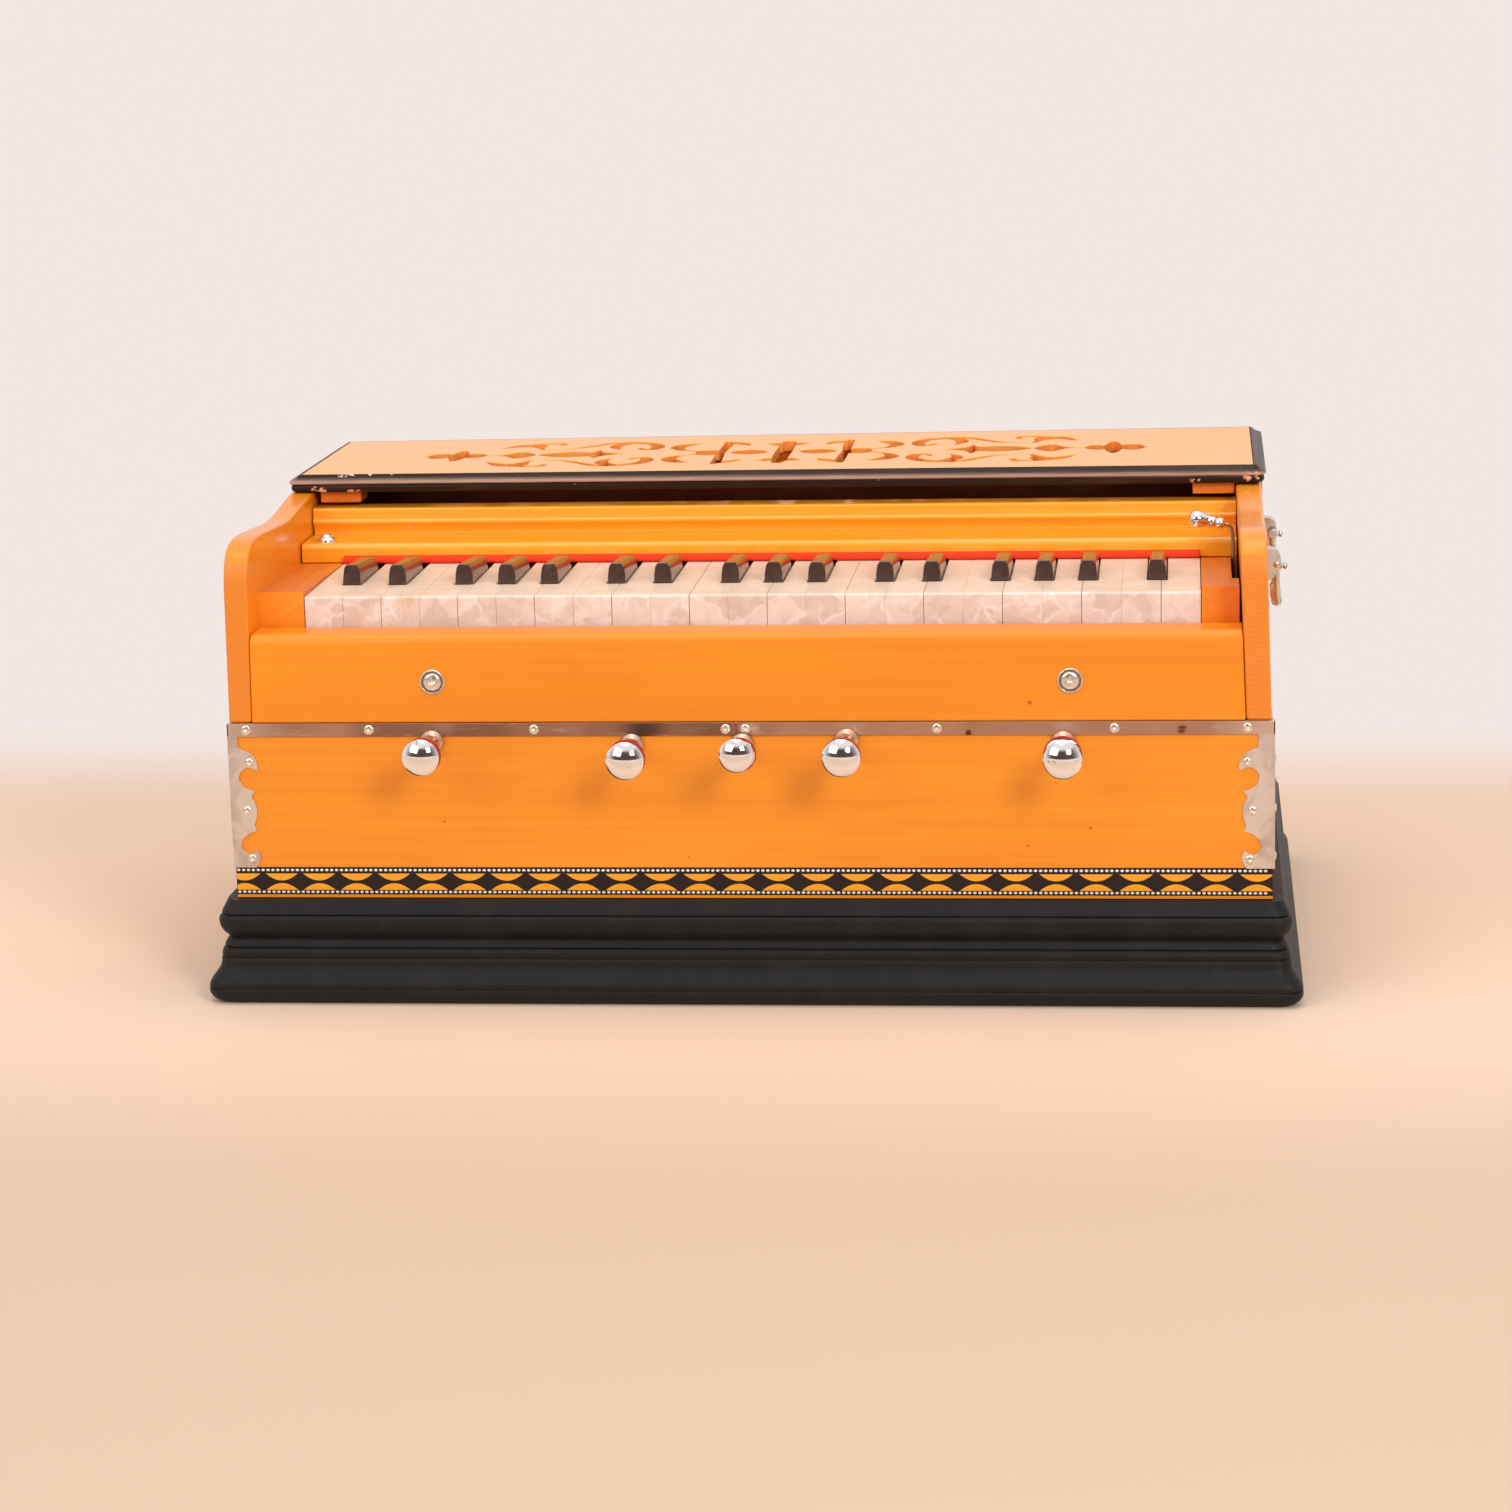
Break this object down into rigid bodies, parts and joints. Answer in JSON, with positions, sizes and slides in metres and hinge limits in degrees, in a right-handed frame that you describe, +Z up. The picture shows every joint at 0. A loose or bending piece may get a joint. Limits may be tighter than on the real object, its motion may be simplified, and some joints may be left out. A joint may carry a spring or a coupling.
{
  "type": "harmonium",
  "caption": "hand-pumped reed organ in an orange varnished case on a black plinth, with a keyboard, pull stops, a fretwork lid that lifts off and a rear bellows",
  "frame": {"origin": "centre of the flat underside of the plinth, on the surface that the instrument stands on", "axes": "+X to the player's right, +Y away from the player to the bellows, +Z up"},
  "size_m": [0.5784, 0.3761, 0.256],
  "materials": {
    "varnished_wood": "orange-brown glossy varnish over close-grained wood",
    "lid_wood": "orange varnish on a fretted board with a dark stained moulding round it",
    "plinth_paint": "satin black paint",
    "nickel": "nickel plate with light wear",
    "chrome": "polished plate",
    "fold_cloth": "dark red bellows cloth over card",
    "pearl_celluloid": "pearly pinkish celluloid with faint swirls",
    "black_key_gloss": "polished brown-black"
  },
  "bodies": {
    "case": {"base_plinth": "plinth_paint", "lower_case": "varnished_wood", "left_cheek": "varnished_wood", "right_cheek": "varnished_wood", "front_board": "varnished_wood", "key_pan": "varnished_wood", "fall_rail": "varnished_wood", "nickel_band": "nickel", "bellows_folds": "fold_cloth"},
    "lid": {"lid": "lid_wood"},
    "bellows": {"bellows_board": "varnished_wood"},
    "stop_1": {"stop_knob_1": "chrome"},
    "stop_2": {"stop_knob_2": "chrome"},
    "stop_3": {"stop_knob_3": "chrome"},
    "stop_4": {"stop_knob_4": "chrome"},
    "stop_5": {"stop_knob_5": "chrome"},
    "coupler_lever": {"coupler_lever": "chrome"},
    "handle_left": {"handle_left": "chrome"},
    "handle_right": {"handle_right": "chrome"},
    "catch_left": {"catch_left": "nickel"},
    "catch_right": {"catch_right": "nickel"},
    "white_key_01": {"white_key_01": "pearl_celluloid"},
    "white_key_02": {"white_key_02": "pearl_celluloid"},
    "white_key_03": {"white_key_03": "pearl_celluloid"},
    "white_key_04": {"white_key_04": "pearl_celluloid"},
    "white_key_05": {"white_key_05": "pearl_celluloid"},
    "white_key_06": {"white_key_06": "pearl_celluloid"},
    "white_key_07": {"white_key_07": "pearl_celluloid"},
    "white_key_08": {"white_key_08": "pearl_celluloid"},
    "white_key_09": {"white_key_09": "pearl_celluloid"},
    "white_key_10": {"white_key_10": "pearl_celluloid"},
    "white_key_11": {"white_key_11": "pearl_celluloid"},
    "white_key_12": {"white_key_12": "pearl_celluloid"},
    "white_key_13": {"white_key_13": "pearl_celluloid"},
    "white_key_14": {"white_key_14": "pearl_celluloid"},
    "white_key_15": {"white_key_15": "pearl_celluloid"},
    "white_key_16": {"white_key_16": "pearl_celluloid"},
    "white_key_17": {"white_key_17": "pearl_celluloid"},
    "white_key_18": {"white_key_18": "pearl_celluloid"},
    "white_key_19": {"white_key_19": "pearl_celluloid"},
    "white_key_20": {"white_key_20": "pearl_celluloid"},
    "white_key_21": {"white_key_21": "pearl_celluloid"},
    "white_key_22": {"white_key_22": "pearl_celluloid"},
    "white_key_23": {"white_key_23": "pearl_celluloid"},
    "black_key_01": {"black_key_01": "black_key_gloss"},
    "black_key_02": {"black_key_02": "black_key_gloss"},
    "black_key_03": {"black_key_03": "black_key_gloss"},
    "black_key_04": {"black_key_04": "black_key_gloss"},
    "black_key_05": {"black_key_05": "black_key_gloss"},
    "black_key_06": {"black_key_06": "black_key_gloss"},
    "black_key_07": {"black_key_07": "black_key_gloss"},
    "black_key_08": {"black_key_08": "black_key_gloss"},
    "black_key_09": {"black_key_09": "black_key_gloss"},
    "black_key_10": {"black_key_10": "black_key_gloss"},
    "black_key_11": {"black_key_11": "black_key_gloss"},
    "black_key_12": {"black_key_12": "black_key_gloss"},
    "black_key_13": {"black_key_13": "black_key_gloss"},
    "black_key_14": {"black_key_14": "black_key_gloss"},
    "black_key_15": {"black_key_15": "black_key_gloss"},
    "black_key_16": {"black_key_16": "black_key_gloss"}
  },
  "joints": [
    {"name": "lid_lift", "type": "slide", "parent": "case", "child": "lid", "axis": [0, 0, 1], "range_m": [0, 0.12]},
    {"name": "bellows_pump", "type": "hinge", "parent": "case", "child": "bellows", "pos_m": [0, 0.156, 0.0575], "axis": [-1, 0, 0], "range_deg": [0, 22], "deforming": ["bellows_folds"]},
    {"name": "stop_1_pull", "type": "slide", "parent": "case", "child": "stop_1", "axis": [0, -1, 0], "range_m": [0, 0.018]},
    {"name": "stop_2_pull", "type": "slide", "parent": "case", "child": "stop_2", "axis": [0, -1, 0], "range_m": [0, 0.018]},
    {"name": "stop_3_pull", "type": "slide", "parent": "case", "child": "stop_3", "axis": [0, -1, 0], "range_m": [0, 0.018]},
    {"name": "stop_4_pull", "type": "slide", "parent": "case", "child": "stop_4", "axis": [0, -1, 0], "range_m": [0, 0.018]},
    {"name": "stop_5_pull", "type": "slide", "parent": "case", "child": "stop_5", "axis": [0, -1, 0], "range_m": [0, 0.018]},
    {"name": "coupler_lever_swing", "type": "hinge", "parent": "case", "child": "coupler_lever", "pos_m": [0.2546, -0.028, 0.1724], "axis": [1, 0, 0], "range_deg": [0, 36]},
    {"name": "handle_left_swing", "type": "hinge", "parent": "case", "child": "handle_left", "pos_m": [-0.2768, -0.0015, 0.2135], "axis": [0, 1, 0], "range_deg": [0, 92]},
    {"name": "handle_right_swing", "type": "hinge", "parent": "case", "child": "handle_right", "pos_m": [0.2768, -0.0015, 0.2135], "axis": [0, -1, 0], "range_deg": [0, 92]},
    {"name": "catch_left_swing", "type": "hinge", "parent": "case", "child": "catch_left", "pos_m": [-0.2742, 0.122, 0.2], "axis": [1, 0, 0], "range_deg": [-270, 0]},
    {"name": "catch_right_swing", "type": "hinge", "parent": "case", "child": "catch_right", "pos_m": [0.2742, 0.122, 0.2], "axis": [1, 0, 0], "range_deg": [-270, 0]},
    {"name": "white_key_press_01", "type": "hinge", "parent": "case", "child": "white_key_01", "pos_m": [0, -0.011, 0.1915], "axis": [1, 0, 0], "range_deg": [0, 3], "stiffness_Nm_per_rad": 0.5, "springref_deg": -6.88},
    {"name": "white_key_press_02", "type": "hinge", "parent": "case", "child": "white_key_02", "pos_m": [0, -0.011, 0.1915], "axis": [1, 0, 0], "range_deg": [0, 3], "stiffness_Nm_per_rad": 0.5, "springref_deg": -6.88},
    {"name": "white_key_press_03", "type": "hinge", "parent": "case", "child": "white_key_03", "pos_m": [0, -0.011, 0.1915], "axis": [1, 0, 0], "range_deg": [0, 3], "stiffness_Nm_per_rad": 0.5, "springref_deg": -6.88},
    {"name": "white_key_press_04", "type": "hinge", "parent": "case", "child": "white_key_04", "pos_m": [0, -0.011, 0.1915], "axis": [1, 0, 0], "range_deg": [0, 3], "stiffness_Nm_per_rad": 0.5, "springref_deg": -6.88},
    {"name": "white_key_press_05", "type": "hinge", "parent": "case", "child": "white_key_05", "pos_m": [0, -0.011, 0.1915], "axis": [1, 0, 0], "range_deg": [0, 3], "stiffness_Nm_per_rad": 0.5, "springref_deg": -6.88},
    {"name": "white_key_press_06", "type": "hinge", "parent": "case", "child": "white_key_06", "pos_m": [0, -0.011, 0.1915], "axis": [1, 0, 0], "range_deg": [0, 3], "stiffness_Nm_per_rad": 0.5, "springref_deg": -6.88},
    {"name": "white_key_press_07", "type": "hinge", "parent": "case", "child": "white_key_07", "pos_m": [0, -0.011, 0.1915], "axis": [1, 0, 0], "range_deg": [0, 3], "stiffness_Nm_per_rad": 0.5, "springref_deg": -6.88},
    {"name": "white_key_press_08", "type": "hinge", "parent": "case", "child": "white_key_08", "pos_m": [0, -0.011, 0.1915], "axis": [1, 0, 0], "range_deg": [0, 3], "stiffness_Nm_per_rad": 0.5, "springref_deg": -6.88},
    {"name": "white_key_press_09", "type": "hinge", "parent": "case", "child": "white_key_09", "pos_m": [0, -0.011, 0.1915], "axis": [1, 0, 0], "range_deg": [0, 3], "stiffness_Nm_per_rad": 0.5, "springref_deg": -6.88},
    {"name": "white_key_press_10", "type": "hinge", "parent": "case", "child": "white_key_10", "pos_m": [0, -0.011, 0.1915], "axis": [1, 0, 0], "range_deg": [0, 3], "stiffness_Nm_per_rad": 0.5, "springref_deg": -6.88},
    {"name": "white_key_press_11", "type": "hinge", "parent": "case", "child": "white_key_11", "pos_m": [0, -0.011, 0.1915], "axis": [1, 0, 0], "range_deg": [0, 3], "stiffness_Nm_per_rad": 0.5, "springref_deg": -6.88},
    {"name": "white_key_press_12", "type": "hinge", "parent": "case", "child": "white_key_12", "pos_m": [0, -0.011, 0.1915], "axis": [1, 0, 0], "range_deg": [0, 3], "stiffness_Nm_per_rad": 0.5, "springref_deg": -6.88},
    {"name": "white_key_press_13", "type": "hinge", "parent": "case", "child": "white_key_13", "pos_m": [0, -0.011, 0.1915], "axis": [1, 0, 0], "range_deg": [0, 3], "stiffness_Nm_per_rad": 0.5, "springref_deg": -6.88},
    {"name": "white_key_press_14", "type": "hinge", "parent": "case", "child": "white_key_14", "pos_m": [0, -0.011, 0.1915], "axis": [1, 0, 0], "range_deg": [0, 3], "stiffness_Nm_per_rad": 0.5, "springref_deg": -6.88},
    {"name": "white_key_press_15", "type": "hinge", "parent": "case", "child": "white_key_15", "pos_m": [0, -0.011, 0.1915], "axis": [1, 0, 0], "range_deg": [0, 3], "stiffness_Nm_per_rad": 0.5, "springref_deg": -6.88},
    {"name": "white_key_press_16", "type": "hinge", "parent": "case", "child": "white_key_16", "pos_m": [0, -0.011, 0.1915], "axis": [1, 0, 0], "range_deg": [0, 3], "stiffness_Nm_per_rad": 0.5, "springref_deg": -6.88},
    {"name": "white_key_press_17", "type": "hinge", "parent": "case", "child": "white_key_17", "pos_m": [0, -0.011, 0.1915], "axis": [1, 0, 0], "range_deg": [0, 3], "stiffness_Nm_per_rad": 0.5, "springref_deg": -6.88},
    {"name": "white_key_press_18", "type": "hinge", "parent": "case", "child": "white_key_18", "pos_m": [0, -0.011, 0.1915], "axis": [1, 0, 0], "range_deg": [0, 3], "stiffness_Nm_per_rad": 0.5, "springref_deg": -6.88},
    {"name": "white_key_press_19", "type": "hinge", "parent": "case", "child": "white_key_19", "pos_m": [0, -0.011, 0.1915], "axis": [1, 0, 0], "range_deg": [0, 3], "stiffness_Nm_per_rad": 0.5, "springref_deg": -6.88},
    {"name": "white_key_press_20", "type": "hinge", "parent": "case", "child": "white_key_20", "pos_m": [0, -0.011, 0.1915], "axis": [1, 0, 0], "range_deg": [0, 3], "stiffness_Nm_per_rad": 0.5, "springref_deg": -6.88},
    {"name": "white_key_press_21", "type": "hinge", "parent": "case", "child": "white_key_21", "pos_m": [0, -0.011, 0.1915], "axis": [1, 0, 0], "range_deg": [0, 3], "stiffness_Nm_per_rad": 0.5, "springref_deg": -6.88},
    {"name": "white_key_press_22", "type": "hinge", "parent": "case", "child": "white_key_22", "pos_m": [0, -0.011, 0.1915], "axis": [1, 0, 0], "range_deg": [0, 3], "stiffness_Nm_per_rad": 0.5, "springref_deg": -6.88},
    {"name": "white_key_press_23", "type": "hinge", "parent": "case", "child": "white_key_23", "pos_m": [0, -0.011, 0.1915], "axis": [1, 0, 0], "range_deg": [0, 3], "stiffness_Nm_per_rad": 0.5, "springref_deg": -6.88},
    {"name": "black_key_press_01", "type": "hinge", "parent": "case", "child": "black_key_01", "pos_m": [0, -0.011, 0.1915], "axis": [1, 0, 0], "range_deg": [0, 3], "stiffness_Nm_per_rad": 0.5, "springref_deg": -6.88},
    {"name": "black_key_press_02", "type": "hinge", "parent": "case", "child": "black_key_02", "pos_m": [0, -0.011, 0.1915], "axis": [1, 0, 0], "range_deg": [0, 3], "stiffness_Nm_per_rad": 0.5, "springref_deg": -6.88},
    {"name": "black_key_press_03", "type": "hinge", "parent": "case", "child": "black_key_03", "pos_m": [0, -0.011, 0.1915], "axis": [1, 0, 0], "range_deg": [0, 3], "stiffness_Nm_per_rad": 0.5, "springref_deg": -6.88},
    {"name": "black_key_press_04", "type": "hinge", "parent": "case", "child": "black_key_04", "pos_m": [0, -0.011, 0.1915], "axis": [1, 0, 0], "range_deg": [0, 3], "stiffness_Nm_per_rad": 0.5, "springref_deg": -6.88},
    {"name": "black_key_press_05", "type": "hinge", "parent": "case", "child": "black_key_05", "pos_m": [0, -0.011, 0.1915], "axis": [1, 0, 0], "range_deg": [0, 3], "stiffness_Nm_per_rad": 0.5, "springref_deg": -6.88},
    {"name": "black_key_press_06", "type": "hinge", "parent": "case", "child": "black_key_06", "pos_m": [0, -0.011, 0.1915], "axis": [1, 0, 0], "range_deg": [0, 3], "stiffness_Nm_per_rad": 0.5, "springref_deg": -6.88},
    {"name": "black_key_press_07", "type": "hinge", "parent": "case", "child": "black_key_07", "pos_m": [0, -0.011, 0.1915], "axis": [1, 0, 0], "range_deg": [0, 3], "stiffness_Nm_per_rad": 0.5, "springref_deg": -6.88},
    {"name": "black_key_press_08", "type": "hinge", "parent": "case", "child": "black_key_08", "pos_m": [0, -0.011, 0.1915], "axis": [1, 0, 0], "range_deg": [0, 3], "stiffness_Nm_per_rad": 0.5, "springref_deg": -6.88},
    {"name": "black_key_press_09", "type": "hinge", "parent": "case", "child": "black_key_09", "pos_m": [0, -0.011, 0.1915], "axis": [1, 0, 0], "range_deg": [0, 3], "stiffness_Nm_per_rad": 0.5, "springref_deg": -6.88},
    {"name": "black_key_press_10", "type": "hinge", "parent": "case", "child": "black_key_10", "pos_m": [0, -0.011, 0.1915], "axis": [1, 0, 0], "range_deg": [0, 3], "stiffness_Nm_per_rad": 0.5, "springref_deg": -6.88},
    {"name": "black_key_press_11", "type": "hinge", "parent": "case", "child": "black_key_11", "pos_m": [0, -0.011, 0.1915], "axis": [1, 0, 0], "range_deg": [0, 3], "stiffness_Nm_per_rad": 0.5, "springref_deg": -6.88},
    {"name": "black_key_press_12", "type": "hinge", "parent": "case", "child": "black_key_12", "pos_m": [0, -0.011, 0.1915], "axis": [1, 0, 0], "range_deg": [0, 3], "stiffness_Nm_per_rad": 0.5, "springref_deg": -6.88},
    {"name": "black_key_press_13", "type": "hinge", "parent": "case", "child": "black_key_13", "pos_m": [0, -0.011, 0.1915], "axis": [1, 0, 0], "range_deg": [0, 3], "stiffness_Nm_per_rad": 0.5, "springref_deg": -6.88},
    {"name": "black_key_press_14", "type": "hinge", "parent": "case", "child": "black_key_14", "pos_m": [0, -0.011, 0.1915], "axis": [1, 0, 0], "range_deg": [0, 3], "stiffness_Nm_per_rad": 0.5, "springref_deg": -6.88},
    {"name": "black_key_press_15", "type": "hinge", "parent": "case", "child": "black_key_15", "pos_m": [0, -0.011, 0.1915], "axis": [1, 0, 0], "range_deg": [0, 3], "stiffness_Nm_per_rad": 0.5, "springref_deg": -6.88},
    {"name": "black_key_press_16", "type": "hinge", "parent": "case", "child": "black_key_16", "pos_m": [0, -0.011, 0.1915], "axis": [1, 0, 0], "range_deg": [0, 3], "stiffness_Nm_per_rad": 0.5, "springref_deg": -6.88}
  ]
}
